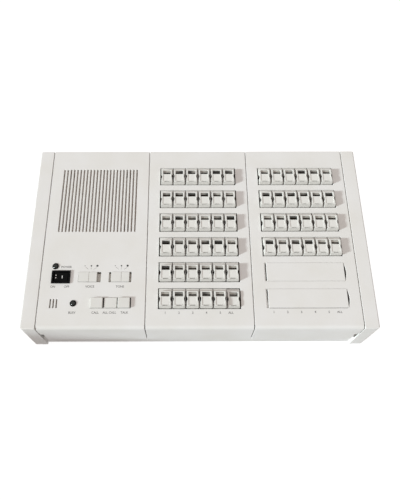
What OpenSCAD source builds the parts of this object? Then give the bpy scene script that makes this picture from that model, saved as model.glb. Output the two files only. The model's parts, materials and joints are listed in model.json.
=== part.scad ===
// Desk intercom master station: a sloping moulded housing between two side cheeks, with three
// top panels side by side. The left panel carries the loudspeaker grille and the controls, the
// other two carry banks of station keys. X runs to the right, Y to the back and Z up; the origin
// is under the middle of the housing, on the surface that its feet stand on.

/* [Housing] */
// Overall width over the two side cheeks
body_w = 388; // [374:1:410]
// Overall depth of the housing
body_d = 218.5; // [210:0.5:235]
// Height of the housing at its front edge, without the feet
front_h = 57; // [52:1:64]
// Slope of the top, rising to the back, in degrees
slope = 8; // [6:0.5:10]
// Thickness of the moulded walls
wall = 2.5; // [2:0.1:3]
// Width of each side cheek
cheek_w = 16; // [14:0.5:18]
// Width of the grooves beside the top panels
groove = 1; // [0.6:0.1:1.4]
// Radius of the rounded front edge of the panels
front_r = 4.5; // [3.5:0.5:7]
// Radius of the upright outer corners of the cheeks
corner_r = 3; // [2:0.5:6]
// Radius of the top edges of the cheeks
edge_r = 1.5; // [0.8:0.1:2.5]
// Height of the tray's front lip, where the panel skirts end
lip_h = 20.5; // [17:0.5:23]
// How far the front lip stands back behind the skirts
lip_setback = 3; // [2:0.1:3.5]
// Diameter of the rubber feet
foot_d = 16; // [12:1:20]
// Height of the rubber feet
foot_h = 3; // [2:0.5:5]

/* [Station keys] */
// Distance from key to key in a row
key_pitch = 15; // [14.6:0.1:15.4]
// Gap between two keys in a row
key_gap = 1.1; // [0.9:0.1:1.5]
// Length of a key from its rear flange to its front lip
key_l = 22; // [20:0.5:24]
// Height of a key's top above the panel
key_rise = 3.6; // [2.5:0.1:4.5]
// How far a key goes down when pressed fully
key_travel = 3.5; // [2.5:0.1:4]
// How far down a latched key stays
latch_depth = 2; // [1:0.1:2.4]
// Depth of the scallop in each side of a key
scallop = 1; // [0.6:0.1:1.4]
// Distance from the front edge to the middle of the front key row
row_front = 33.3; // [30:0.1:36]
// Distance from the back edge to the middle of the rear key row
row_back = 35.5; // [33:0.1:38]

/* [Controls] */
// Length of the loudspeaker grille's slots
grille_l = 82.5; // [78:0.5:86]
// Distance from the back edge to the grille
grille_back = 25.5; // [22:0.5:28]
// Number of slots in the loudspeaker grille
grille_slots = 23; // [17:2:23]
// Distance from slot to slot in the grille
grille_pitch = 4.02; // [3.6:0.02:4.1]
// Width of a grille slot
slot_w = 1.8; // [1.2:0.1:2.2]
// Width of the power switch's bezel
rocker_w = 21; // [19:0.5:22]
// Length of the power switch's bezel, front to back
rocker_l = 15; // [14:0.5:16]
// Tilt of the power rocker to each side, in degrees
rocker_tilt = 8; // [6:0.5:10]
// Width of a slide knob
knob_w = 20.4; // [19:0.2:21]
// Length of a slide knob, front to back
knob_l = 11; // [10:0.2:12]
// Distance between two positions of a slide knob
slide_step = 2.1; // [1.8:0.1:2.2]
// Length of the function buttons, front to back
button_l = 11.2; // [10:0.2:12]
// Height of the function buttons above the panel
button_rise = 2; // [1.6:0.1:3]
// How far a function button goes down when pressed fully
button_travel = 3; // [2.5:0.1:3.5]
// Diameter of the two lamps
lamp_d = 5; // [4:0.5:5.5]

/* [Inside] */
// Outer diameter of the loudspeaker basket
speaker_d = 77; // [70:1:78]
// Depth of the loudspeaker from its flange to the back of its magnet
speaker_h = 28; // [24:1:32]
// Thickness of the circuit boards
board_t = 1.6; // [1.2:0.2:2]
// Height of the key switch bodies
switch_h = 10.5; // [10:0.5:12]
// Diameter of the screws
screw_d = 3; // [2.6:0.1:3.5]

/* [Clearances] */
// Running clearance round a moving piece
run_gap = 0.35; // [0.3:0.05:0.5]
// Clearance between pieces that stay still
fit_gap = 0.15; // [0.1:0.05:0.25]

/* [Hidden] */
KEYS = ["1", "2", "3", "4", "5", "all"];
MIDDLE_GANGED = 5;
RIGHT_GANGED = 3;

$fn = 48;
SHELL = "#DEDEDB";
CAP = "#E4E4E1";
BLACK = "#141414";

// The housing
big = 500;
y_front = -body_d / 2;
y_back = body_d / 2;
top_front_z = foot_h + front_h;
top_l = body_d / cos(slope);
cheek_in = body_w / 2 - cheek_w;
module_pitch = (2 * cheek_in - groove) / 3;
panel_w = module_pitch - groove;
back_r = 1;
lip_top_z = foot_h + lip_h;
floor_z = foot_h + wall;
ledge_w = 3;
ledge_t = 3;
cheek_web = 2;
board_clear = 2.5;
inner_y = y_front + lip_setback + wall;
corner_notch_w = 3.6;
corner_notch_h = 17;
corner_pocket_w = groove + corner_notch_w;
tongue_h = corner_notch_h + 2;
partition_t = 2;
partition_head_w = 6;

// Screws and the posts that take them
post_d = 7;
post_x = 40;
post_inset = 10;
joint_h = 17;
joint_z = foot_h + joint_h;
screw_head_d = 6;
screw_head_h = 2;
screw_grip = 7;
recess_l = 4;
recess_w = 0.8;
board_post_d = 6;
board_screw_l = 7;

// The key banks
keys_per_row = len(KEYS);
key_rows = 6;
right_key_rows = 4;
row_pitch = (top_l - row_front - row_back) / (key_rows - 1);
key_w = key_pitch - key_gap;
key_margin = 0.7;
aperture_w = keys_per_row * key_pitch + 1.2;
aperture_l = key_l + 2 * key_margin;
key_top_w = key_w - 2.2;
key_shoulder = 0.3;
key_skirt = wall + 1.5;
key_wall = 1.2;
flange_l = 3;
key_slope_l = 2.6;
scallop_l = 7;
scallop_s = -0.5;
window_w = 8.8;
window_l = 4.6;
window_s = 5.3;
label_w = 9.2;
label_l = 10.4;
label_s = -2.5;
label_sink = 0.3;
nail_w = 6;
nail_l = 0.9;
tab_w = 4;
tab_reach = 1.2;
stem_w = 3.6;
stem_s = -2.5;
switch_gap = 2;
switch_top = -(key_skirt + key_travel + switch_gap);
switch_l = 13;
key_board_top = switch_top - switch_h;
stem_bottom = key_board_top + key_travel + 2.5;
lamp_stand = 3;

// The blank covers
cover_l = aperture_l - 2.2;
cover_t = 1.6;
cover_left_gap = 1.9;
cover_sink_w = 89.7;
cover_rim = 2.6;
cover_proud = 0.3;
cover_clip_w = 12;
pry_r = 8;
pry_reach = 2;

// Controls, across from the middle of the control panel and up from its front edge
rocker_at = [-36.2, 58.1];
power_lamp_at = [-43.4, 70.8];
busy_lamp_at = [-20.2, 28.1];
voice_at = [-4.2, 58.1];
tone_at = [30, 58.1];
buttons_at = [20.8, 28.6];
button_pitch = 15;
button_gap = 1;
mic_at = [-41.9, 28];
mic_slot_l = 10;
mic_slot_pitch = 3.45;
bezel_d = lamp_d + 1.4;
button_w = button_pitch - button_gap;
button_drop = 1;
grille_s = top_l - grille_back - grille_l / 2;
knob_rise = 0.6;
knob_t = knob_rise + wall + 0.5;
ridge_w = 1.6;
ridge_rise = 1;
knob_hole_w = knob_w + 2 * slide_step + 2 * run_gap;
knob_hole_l = knob_l + 2 * run_gap;
slide_top = knob_rise - knob_t;
slide_h = 8;
bank_l = 12;
bank_h = 9;
bank_clear = 3.5;
bank_top = -(wall + button_travel + bank_clear);
control_board_top = bank_top - bank_h;
pivot_d = 2.4;
pivot_n = -2.2;
housing_h = 17;

// A point on an arc, and a run of them
function arc(c, r, from, to, steps = 6) =
    [for (i = [0:steps]) let (a = from + (to - from) * i / steps) c + r * [cos(a), sin(a)]];

// Height of the sloping top at a given depth, lowered square to it by "down"
function top_z(y, down = 0) = top_front_z + (y - y_front) * tan(slope) - down / cos(slope);

// Distance from the front edge, measured up the slope, to the middle of a key row
function row_s(row) = top_l - row_back - (row - 1) * row_pitch;

// Offset of a key from the middle of its row
function key_x(k) = (k - (keys_per_row - 1) / 2) * key_pitch;

// The place on the sloping top: x across, s up the slope from the front edge, n square to it
module on_top(at = [0, 0], n = 0) {
    translate([0, y_front, top_front_z]) rotate([slope, 0, 0]) translate([at[0], at[1], n]) children();
}

// A side view (depth, height) drawn out along X
module across(w, x = 0) {
    translate([x - w / 2, 0, 0]) rotate([90, 0, 90]) linear_extrude(w) children();
}

// A front view (width, height) drawn out along Y
module lengthwise(l) {
    rotate([90, 0, 0]) linear_extrude(l, center = true) children();
}

// A block centred in plan, with its top face at height n
module slab(w, l, t, n = 0) {
    translate([-w / 2, -l / 2, n - t]) cube([w, l, t]);
}

// The same standing on height 0, from its three sizes
module block(size) {
    slab(size[0], size[1], size[2], size[2]);
}

// An upright post from one height to another
module post(d, z0, z1) {
    translate([0, 0, z0]) cylinder(d = d, h = z1 - z0);
}

// --- Housing shell -----------------------------------------------------------------------

// Side view of a top panel: the sloping plate, its rounded front edge and its front skirt
module panel_side_view() {
    front_c = [y_front + front_r, top_z(y_front + front_r, front_r)];
    back_c = [y_back - back_r, top_z(y_back - back_r, back_r)];
    polygon(concat(
        [[y_front, lip_top_z]],
        arc(front_c, front_r, 180, 90 + slope, 10),
        arc(back_c, back_r, 90 + slope, 0, 4),
        [[y_back, top_z(y_back, wall)]],
        arc(front_c, front_r - wall, 90 + slope, 180),
        [[y_front + wall, lip_top_z]]));
}

// Everything beneath the panels' plate, lowered by "down" from its upper face
module below_top(down, from_y, to_y, w) {
    across(w) polygon([[from_y, 0], [from_y, top_z(from_y, down)],
                       [to_y, top_z(to_y, down)], [to_y, 0]]);
}

// The outline of the whole housing, with its rounded corners and edges
module housing_envelope() {
    side_r = edge_r;
    front_c = [y_front + side_r, top_z(y_front + side_r, side_r)];
    back_c = [y_back - back_r, top_z(y_back - back_r, back_r)];
    intersection() {
        across(2 * body_w) polygon(concat(
            [[y_front, foot_h]], arc(front_c, side_r, 180, 90 + slope),
            arc(back_c, back_r, 90 + slope, 0, 4), [[y_back, foot_h]]));
        translate([0, 0, -1]) linear_extrude(big)
            rounded(body_w, body_d, corner_r);
        on_top([0, top_l / 2]) lengthwise(2 * top_l)
            translate([0, -big / 2]) rounded(body_w, big, edge_r);
    }
}

// A rectangle with round corners, as one outline
module rounded(w, l, r) {
    c = [w / 2 - r, l / 2 - r];
    polygon(concat(arc(c, r, 0, 90), arc([-c[0], c[1]], r, 90, 180),
                   arc(-c, r, 180, 270), arc([c[0], -c[1]], r, 270, 360)));
}

// Places of the screw posts: four to each top panel
module at_case_screws() {
    for (m = [-1:1], x = [-1, 1], y = [y_front + post_inset, y_back - post_inset])
        translate([m * module_pitch + x * post_x, y, 0]) children();
}

module at_feet() {
    for (x = [-1, 1], y = [-1, 1])
        translate([x * (body_w / 2 - foot_inset), y * (body_d / 2 - foot_inset), 0]) children();
}
foot_inset = 22;
foot_stem_d = 5;

// Where the panels and their skirts go, in front of and above what stays of the tray
module panel_space() {
    tongue_y = y_front + max(wall, lip_setback) + fit_gap;
    ledge_y = y_front + front_r + 1;
    across(2 * cheek_in) polygon([
        [y_front - 1, 0], [y_front + lip_setback, 0], [y_front + lip_setback, lip_top_z],
        [tongue_y, lip_top_z], [tongue_y, lip_top_z + tongue_h],
        [ledge_y, lip_top_z + tongue_h], [ledge_y, top_z(ledge_y, wall)],
        [y_back + 1, top_z(y_back + 1, wall)], [y_back + 1, big], [y_front - 1, big]]);
}

// The hollow between the front lip and the back wall
module tray_hollow() {
    hollow = [inner_y, y_back - wall];
    difference() {
        union() {
            below_top(wall + ledge_t, hollow[0], hollow[1], body_w - 2 * wall);
            below_top(0, hollow[0], hollow[1], 2 * (cheek_in - ledge_w));
            for (side = [-1, 1]) intersection() {
                below_top(wall, hollow[0], hollow[1], body_w - 2 * wall);
                translate([side * (cheek_in + cheek_web + big / 2), 0, 0]) cube([big, big, big], center = true);
            }
        }
        translate([-big, -big, 0]) cube([2 * big, 2 * big, floor_z]);
    }
}

// Moulded tray: floor, back wall, front lip and hollow cheeks, with ledges for the panels
module base_tray() color(SHELL) {
    difference() {
        union() {
            difference() {
                housing_envelope();
                tray_hollow();
            }
            partitions();
            at_case_screws() post(post_d + 2, foot_h, joint_z);
            at_board_standoffs() post(board_post_d, floor_z - 1, standoff_z);
        }
        panel_space();
        at_case_screws() {
            post(screw_d + 4 * fit_gap, 0, joint_z + 1);
            post(screw_head_d + 4 * fit_gap, 0, foot_h + screw_head_h + fit_gap);
        }
        at_feet() post(foot_stem_d, 0, floor_z + 1);
        at_board_standoffs() post(screw_d, floor_z, standoff_z + 1);
        rear_openings();
        cooling_slots();
        corner_pockets();
    }
}

// Pockets behind the notches at the outer corners of the front skirts
module corner_pockets() {
    top = lip_top_z + tongue_h + 1;
    difference() {
        across(2 * cheek_in) polygon([[y_front - 1, lip_top_z], [y_front - 1, top],
                                      [inner_y + 0.5, top], [inner_y + 0.5, lip_top_z]]);
        across(2 * (cheek_in - corner_pocket_w)) polygon([[y_front - 2, 0], [y_front - 2, top + 1],
                                                          [inner_y + 1, top + 1], [inner_y + 1, 0]]);
    }
}

// Upright walls under the two middle grooves, with a wider head that carries the panel edges
module partitions() {
    notch_w = 34;
    notch_h = 14;
    for (side = [-1, 1]) translate([side * module_pitch / 2, 0, 0]) difference() {
        union() {
            below_top(wall / 2, inner_y + 0.5, y_back - wall / 2, partition_t);
            difference() {
                below_top(wall / 2, y_front + front_r + 1, y_back - wall / 2, partition_head_w);
                below_top(wall + 2, y_front, y_back, partition_head_w + 2);
            }
        }
        translate([-big, -big, -1]) cube([2 * big, 2 * big, foot_h + 2]);
        for (y = [-0.25, 0.25]) translate([-5, y * body_d - notch_w / 2, floor_z])
            cube([10, notch_w, notch_h]);
    }
}

// The main board lies on standoffs, with the line terminals and the power inlet at its back edge
main_board_size = [68, 62];
main_board_at = [-module_pitch, y_back - wall - 0.5 - main_board_size[1] / 2];
standoff_z = floor_z + 5;
main_board_z = standoff_z + board_t;
jack_w = 9;
jack_h = 11;
jack_x = main_board_at[0] - main_board_size[0] / 2 + jack_w / 2 + 2;
terminal_pitch = 4.5;
terminal_ways = floor((main_board_size[0] - jack_w - 5) / terminal_pitch + 0.01);
terminal_w = terminal_ways * terminal_pitch;
terminal_h = 11;
terminal_x = main_board_at[0] + main_board_size[0] / 2 + 1 - terminal_w / 2;

// Openings in the back wall for the line terminals and the power inlet
module rear_openings() {
    translate([terminal_x - terminal_w / 2 - fit_gap, y_back - wall - 1, main_board_z - fit_gap])
        cube([terminal_w + 2 * fit_gap, wall + 2, terminal_h + 2 * fit_gap]);
    translate([jack_x - jack_w / 2 - fit_gap, y_back - wall - 1, main_board_z - fit_gap])
        cube([jack_w + 2 * fit_gap, wall + 2, jack_h + 2 * fit_gap]);
}

// Rows of narrow slots in the floor under the main board
module cooling_slots() {
    for (i = [-2:2]) translate([main_board_at[0] + i * 9 - 1.5, main_board_at[1] - 12, 0])
        cube([3, 24, floor_z + 1]);
}

// A bare top panel: plate, rounded front edge and skirt, with the posts for its screws
module panel_blank(side) {
    x = side * module_pitch;
    difference() {
        union() {
            across(panel_w, x) panel_side_view();
            intersection() {
                below_top(wall / 2, y_front, y_back, big);
                for (px = [-1, 1], y = [y_front + post_inset, y_back - post_inset])
                    translate([x + px * post_x, y, 0]) post(post_d, joint_z, big);
            }
        }
        for (px = [-1, 1], y = [y_front + post_inset, y_back - post_inset])
            translate([x + px * post_x, y, 0]) post(screw_d, joint_z - 1, joint_z + screw_grip + 2);
        if (side != 0)
            translate([x + side * (panel_w / 2 - corner_notch_w / 2), y_front, lip_top_z])
                cube([corner_notch_w + 0.01, 4 * wall, 2 * corner_notch_h], center = true);
    }
}

// Posts on the underside of a panel that carry a board at depth "n"
module board_posts(at_list, n) {
    difference() {
        for (at = at_list) on_top(at) post(board_post_d, n, -wall / 2);
        for (at = at_list) on_top(at) post(screw_d - 0.5, n - 1, n + board_screw_l);
    }
}

// --- Key panels --------------------------------------------------------------------------

key_board_l = top_l - row_front - row_back + aperture_l + 6;
key_board_s = (top_l + row_front - row_back) / 2;
key_board_w = module_pitch - partition_t - 2 * board_clear;
key_post_x = (aperture_w + key_board_w) / 4;
function key_posts(side) = [for (x = [-1, 1], row = [1.5, 3.5, 5.5])
    [side * module_pitch + x * key_post_x, row_s(row)]];

module key_panel(side, rows) color(SHELL) {
    difference() {
        panel_blank(side);
        for (row = [1:rows])
            on_top([side * module_pitch, row_s(row)]) slab(aperture_w, aperture_l, 2 * wall, wall / 2);
        for (row = [rows + 1:1:key_rows]) blank_aperture(side, row);
    }
    board_posts(key_posts(side), key_board_top);
}
module middle_key_panel() key_panel(0, key_rows);
module right_key_panel() key_panel(1, right_key_rows);

// A blanked key row: a sunk rim for the cover, a curved notch to prise it out, and the opening
module blank_aperture(side, row) {
    on_top([side * module_pitch, row_s(row)]) {
        slab(cover_sink_w, cover_l + 2 * fit_gap, cover_t + 1, 1);
        translate([cover_sink_w / 2 - pry_r + pry_reach, 0, -cover_t]) cylinder(r = pry_r, h = cover_t + 1);
        slab(cover_sink_w - 2 * cover_rim, cover_l - 2 * cover_rim, 4 * wall, wall);
    }
}

// Snap-in cover: a plate that lies on the rim, with two hooked clips through the opening
module blank_cover(row) color(SHELL) {
    w = cover_sink_w - cover_left_gap - fit_gap;
    opening_l = cover_l - 2 * cover_rim;
    on_top([module_pitch, row_s(row)]) {
        translate([(cover_left_gap - fit_gap) / 2, 0, 0]) slab(w, cover_l, cover_t + cover_proud, cover_proud);
        for (x = [-1, 1] * cover_sink_w / 3, y = [-1, 1])
            translate([x, y * (opening_l / 2 - fit_gap - 0.6), 0]) {
                slab(cover_clip_w, 1.2, wall + 2, -cover_t + 0.2);
                translate([0, y * 0.7, 0]) slab(cover_clip_w, 1.4, 1.2, -wall - fit_gap);
            }
    }
}
module upper_blank_cover() blank_cover(5);
module lower_blank_cover() blank_cover(6);

// Outline of a key seen from above, with a scallop in each side
module key_outline() {
    r = (scallop_l * scallop_l / 4 + scallop * scallop) / (2 * scallop);
    difference() {
        square([key_w, key_l], center = true);
        for (side = [-1, 1]) translate([side * (key_w / 2 - scallop + r), scallop_s]) circle(r);
    }
}

// One key cap: a raised block with sloping flanks, an open window at the back, a sunk label
// field in front of it, a nail notch and a lower rear flange. Its skirt is hollow, and a stem
// goes down into the switch. Two tabs stop it against the underside of the panel.
module key_cap() {
    half = key_l / 2;
    inside_w = key_w - 2 * (key_wall + scallop);
    difference() {
        intersection() {
            translate([0, 0, -key_skirt]) linear_extrude(key_skirt + key_rise) key_outline();
            lengthwise(key_l) polygon([
                [-key_w / 2, -key_skirt], [-key_w / 2, key_shoulder], [-key_top_w / 2, key_rise],
                [key_top_w / 2, key_rise], [key_w / 2, key_shoulder], [key_w / 2, -key_skirt]]);
            across(key_w) polygon([
                [-half, -key_skirt], [-half, key_shoulder], [-half + key_slope_l, key_rise],
                [half - flange_l - 0.5, key_rise], [half - flange_l, key_shoulder + 0.3],
                [half, key_shoulder], [half, -key_skirt]]);
        }
        slab(inside_w, key_l - 2 * key_wall, key_skirt + 1, key_shoulder - key_wall + 1);
        translate([0, (window_s + label_s) / 2, 0])
            slab(window_w, label_l + window_l + 1, key_skirt, key_rise - key_wall);
        translate([0, window_s, 0]) slab(window_w, window_l, key_skirt + 2 * key_rise, 2 * key_rise);
        translate([0, label_s, 0]) slab(label_w, label_l, label_sink + 1, key_rise + 1);
        translate([0, label_s - label_l / 2 - nail_l, 0]) slab(nail_w, nail_l, 1 + label_sink, key_rise + 0.2);
    }
    translate([0, stem_s, 0]) slab(stem_w, stem_w, key_rise - key_wall - stem_bottom + 0.2,
                                   key_rise - key_wall + 0.2);
    for (end = [-1, 1]) translate([0, end * (half - key_wall / 2 + (key_margin + tab_reach) / 2), 0])
        slab(tab_w, key_wall + key_margin + tab_reach, key_skirt - wall, -wall);
}

module key_at(side, row, k, down = 0) color(CAP)
    on_top([side * module_pitch + key_x(k), row_s(row)], -down) key_cap();

// Six keys of one row
module key_row(side, row) {
    for (k = [0:keys_per_row - 1]) key_at(side, row, k);
}

// Switch bodies under the key rows, with a guide hole for each stem
module key_switches(side, rows) color("#3A3B3D") {
    for (row = [1:rows]) on_top([side * module_pitch, row_s(row) + stem_s]) difference() {
        slab(keys_per_row * key_pitch - 2, switch_l, switch_h, switch_top);
        for (k = [0:keys_per_row - 1]) translate([key_x(k), 0, 0])
            slab(stem_w + 2 * run_gap, stem_w + 2 * run_gap, switch_h - 1, switch_top + 0.5);
    }
}
module middle_key_switches() key_switches(0, key_rows);
module right_key_switches() key_switches(1, right_key_rows);

// Call lamps behind the windows of the keys, standing on the board behind the switches
module call_lamps(side, rows) color("#5A1F1C") {
    lamp_s = stem_s + switch_l / 2 + 2.2;
    for (row = [1:rows], k = [0:keys_per_row - 1])
        on_top([side * module_pitch + key_x(k), row_s(row) + lamp_s]) {
            post(3, key_board_top, switch_top - 1.5);
            translate([0, 0, switch_top - 1.5]) sphere(d = 3, $fn = 24);
        }
}
module middle_call_lamps() call_lamps(0, key_rows);
module right_call_lamps() call_lamps(1, right_key_rows);

module key_board(side) color("#6B5A2E") difference() {
    on_top([side * module_pitch, key_board_s]) slab(key_board_w, key_board_l, board_t, key_board_top);
    for (at = key_posts(side)) on_top(at) post(screw_d + 2 * fit_gap, key_board_top - 9, key_board_top + 9);
}
module middle_key_board() key_board(0);
module right_key_board() key_board(1);

// --- Control panel -----------------------------------------------------------------------

function on_control(at) = [at[0] - module_pitch, at[1]];
control_board_x = [-24.7, (module_pitch - partition_t) / 2 - board_clear];
control_board_s = [13, 92];
control_posts = [for (x = [control_board_x[0] + 4, control_board_x[1] - 4],
                      s = [control_board_s[0] + 4, control_board_s[1] - 4]) on_control([x, s])];
speaker_ear = speaker_d / 2 - 4.5;
speaker_posts = [for (x = [-1, 1], s = [-1, 1])
    on_control([x * speaker_ear, grille_s + s * speaker_ear])];
speaker_seat = -(wall + 2);
speaker_flange_t = 1.2;
speaker_screw_l = speaker_flange_t - speaker_seat - wall - 0.2;

module control_panel() color(SHELL) {
    difference() {
        panel_blank(-1);
        grille_cut();
        on_top(on_control(rocker_at)) slab(rocker_w - 2, rocker_l - 2, 3 * wall, wall);
        for (at = [power_lamp_at, busy_lamp_at]) on_top(on_control(at)) post(bezel_d, -2 * wall, wall);
        for (at = [voice_at, tone_at]) on_top(on_control(at)) slab(knob_hole_w, knob_hole_l, 3 * wall, wall);
        on_top(on_control(buttons_at)) slab(3 * button_pitch - button_gap + 2 * run_gap,
                                            button_l + 2 * run_gap, 3 * wall, wall);
        for (i = [-1:1]) on_top(on_control(mic_at + [i * mic_slot_pitch, 0])) slab(1.5, mic_slot_l, 3 * wall, wall);
    }
    board_posts(control_posts, control_board_top);
    board_posts(speaker_posts, speaker_seat);
}

// The loudspeaker grille: a row of long slots with round ends
module grille_cut() {
    for (i = [0:grille_slots - 1])
        on_top(on_control([(i - (grille_slots - 1) / 2) * grille_pitch, grille_s])) {
            slab(slot_w, grille_l - slot_w, 3 * wall, wall);
            for (end = [-1, 1]) translate([0, end * (grille_l - slot_w) / 2, 0]) post(slot_w, -2 * wall, wall);
        }
}

// Rocker switch: a black bezel that snaps into the panel, with the contacts' case below it
module power_switch_housing() color(BLACK) {
    bezel_t = 1.2;
    well_w = rocker_w - 4.4;
    well_l = rocker_l - 4.4;
    on_top(on_control(rocker_at)) difference() {
        union() {
            slab(rocker_w, rocker_l, bezel_t, bezel_t);
            slab(rocker_w - 2 - 2 * fit_gap, rocker_l - 2 - 2 * fit_gap, housing_h, 0.2);
            for (x = [-1, 1]) translate([x * 5, 0, 0]) slab(1, 5, 8, -housing_h + 0.4);
        }
        slab(well_w, well_l, 7 + bezel_t, bezel_t + 1);
        translate([0, 0, pivot_n]) rotate([90, 0, 0])
            cylinder(d = pivot_d + 2 * run_gap, h = rocker_l, center = true);
    }
}

// The rocker itself, with a shallow V across its top and two pivot pins
module power_rocker() color(BLACK) {
    well_w = rocker_w - 4.4;
    w = well_w - 6 * run_gap;
    l = rocker_l - 4.4 - 2 * run_gap;
    rise = 2.9;
    on_top(on_control(rocker_at)) translate([0, 0, pivot_n]) {
        rotate([0, rocker_tilt, 0]) lengthwise(l) polygon([
            [-w / 2, rise + w / 2 * tan(rocker_tilt)], [-w / 2 + 0.8, -1.6], [-2, -3.4], [2, -3.4],
            [w / 2 - 0.8, -1.6], [w / 2, rise + w / 2 * tan(rocker_tilt)], [0, rise]]);
        rotate([90, 0, 0]) cylinder(d = pivot_d, h = rocker_l - 3, center = true);
    }
}

// Lamps: a round-nosed lens with a flange, held up in its bezel
module lamp(at) color("#1C1F1A") on_top(on_control(at)) rotate_extrude() {
    polygon(concat([[0, -5], [lamp_d / 2 + 0.4, -5], [lamp_d / 2 + 0.4, -4], [lamp_d / 2, -4]],
                   arc([0, 0.2], lamp_d / 2, 0, 90, 8)));
}
module power_lamp() lamp(power_lamp_at);
module busy_lamp() lamp(busy_lamp_at);

// Bezel rings: a thin collar round each lamp with a lip on the panel
module lamp_bezels() color(BLACK) for (at = [power_lamp_at, busy_lamp_at])
    on_top(on_control(at)) rotate_extrude() polygon([
        [lamp_d / 2 + fit_gap / 2, -4], [bezel_d / 2 - fit_gap / 2, -4], [bezel_d / 2 - fit_gap / 2, 0],
        [bezel_d / 2 + 0.5, 0], [bezel_d / 2 + 0.3, 0.5], [lamp_d / 2 + fit_gap / 2, 0.6]]);

// A slide knob: a flat plate with a finger ridge across it, and a blade down into the switch
module slide_knob(at, x) color(CAP) on_top(on_control(at + [x, 0])) {
    slab(knob_w, knob_l, knob_t, knob_rise);
    lengthwise(knob_l) polygon([
        [-ridge_w / 2 - 0.6, knob_rise - 0.1], [-ridge_w / 2, knob_rise + ridge_rise],
        [ridge_w / 2, knob_rise + ridge_rise], [ridge_w / 2 + 0.6, knob_rise - 0.1]]);
    slab(4, 2, -slide_top + 4.5, -1);
}
module voice_slide_knob() slide_knob(voice_at, -slide_step);
module tone_slide_knob() slide_knob(tone_at, 0);

// Slide switch: a low case on its legs, with a long slot for the knob's blade
module slide_switch(at) color("#C9C8C4") on_top(on_control(at)) difference() {
    slab(knob_hole_w + 4, knob_hole_l - 2, slide_top - control_board_top, slide_top);
    slab(4 + 2 * slide_step + 2 * run_gap, 2 + 2 * run_gap, slide_h, slide_top + 1);
}
module voice_switch_body() slide_switch(voice_at);
module tone_switch_body() slide_switch(tone_at);

// A function button: a hollow cap with a slight crown, a stem and stop tabs at its ends
module function_button(i, down) color(CAP) {
    skirt = wall + 1.5;
    crown = 0.4;
    on_top(on_control(buttons_at + [i * button_pitch, 0]), -down) {
        difference() {
            lengthwise(button_l) polygon([
                [-button_w / 2, -skirt], [-button_w / 2, button_rise - crown],
                [-button_w / 2 + crown, button_rise], [button_w / 2 - crown, button_rise],
                [button_w / 2, button_rise - crown], [button_w / 2, -skirt]]);
            slab(button_w - 2 * key_wall, button_l - 2 * key_wall, skirt + button_rise - key_wall + 1,
                 button_rise - key_wall);
        }
        slab(stem_w, stem_w, button_rise - key_wall + 0.2 - bank_top + 3.5, button_rise - key_wall + 0.2);
        for (end = [-1, 1]) translate([0, end * (button_l / 2 + (run_gap + tab_reach - key_wall) / 2), 0])
            slab(tab_w, key_wall + run_gap + tab_reach, skirt - wall, -wall);
    }
}
module call_button() function_button(-1, 0);
module all_call_button() function_button(0, button_drop);
module talk_button() function_button(1, 0);

// Bank of three push switches under the function buttons
module function_switch_bank() color("#3A3B3D") on_top(on_control(buttons_at)) difference() {
    slab(3 * button_pitch, bank_l, bank_h, bank_top);
    for (i = [-1:1]) translate([i * button_pitch, 0, 0])
        slab(stem_w + 2 * run_gap, stem_w + 2 * run_gap, bank_h - 0.5, bank_top + 0.5);
}

module control_board() color("#6B5A2E") difference() {
    size = [control_board_x[1] - control_board_x[0], control_board_s[1] - control_board_s[0]];
    on_top(on_control([control_board_x[0], control_board_s[0]]) + size / 2)
        slab(size[0], size[1], board_t, control_board_top);
    for (at = control_posts) on_top(at)
        post(screw_d + 2 * fit_gap, control_board_top - 9, control_board_top + 9);
}

// --- Loudspeaker and microphone ----------------------------------------------------------

cloth_t = 0.6;
cloth_margin = 1.5;
magnet_d = 45;
magnet_h = 9;
cone_r = speaker_d / 2 - 5;
coil_r = 8;
coil_wall = 1;
coil_clear = 0.6;
cone_depth = 12.6;
frustum_h = speaker_h - magnet_h;
module at_speaker() {
    on_top(on_control([0, grille_s]), speaker_seat) children();
}

// Dust cloth glued behind the grille, with holes where the posts of the loudspeaker pass
module grille_cloth() color("#8A8078") difference() {
    on_top(on_control([0, grille_s]))
        slab((grille_slots - 1) * grille_pitch + slot_w + 2 * cloth_margin, grille_l + 2 * cloth_margin,
             cloth_t, -wall);
    for (at = speaker_posts) on_top(at) post(board_post_d + 4 * fit_gap, speaker_seat, 0);
}

// Pressed steel basket: a square flange with screw holes and a conical frame with windows
module speaker_basket() color("#8C8F92") at_speaker() {
    h = frustum_h;
    difference() {
        union() {
            translate([0, 0, -speaker_flange_t]) linear_extrude(speaker_flange_t) square(speaker_d, center = true);
            rotate_extrude($fn = 64) polygon([
                [cone_r + 1.2, -speaker_flange_t], [cone_r + 2.4, -speaker_flange_t],
                [magnet_d / 2 - 3, -h], [0, -h], [0, -h + 1.2], [magnet_d / 2 - 4, -h + 1.2]]);
        }
        post(2 * (cone_r + 1.2), -speaker_flange_t - 0.1, 1);
        for (x = [-1, 1], y = [-1, 1]) translate([x * speaker_ear, y * speaker_ear, 0])
            post(screw_d + 2 * fit_gap, -9, 1);
        for (a = [45:90:315]) rotate(a) translate([cone_r - 3, 0, 0]) slab(16, 20, h - 6, -3.5);
        post(2 * (coil_r + coil_clear), -h - 1, -h + 3);
    }
}

// Paper cone with its rolled surround, coil neck and dust cap
module speaker_cone() color("#2A2A2B") at_speaker() rotate_extrude($fn = 64) polygon(concat(
    [[cone_r + 1.2, -speaker_flange_t], [cone_r + 1.2, -0.4]],
    arc([cone_r - 2, -0.9], 1.9, 0, 180, 6),
    [[coil_r + 1, 1.1 - cone_depth], [0, 3.6 - cone_depth], [0, 2.8 - cone_depth],
     [coil_r - coil_wall, 0.6 - cone_depth], [coil_r - coil_wall, -frustum_h - 3],
     [coil_r, -frustum_h - 3], [coil_r, -cone_depth], [cone_r - 4.5, -2]]));

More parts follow.
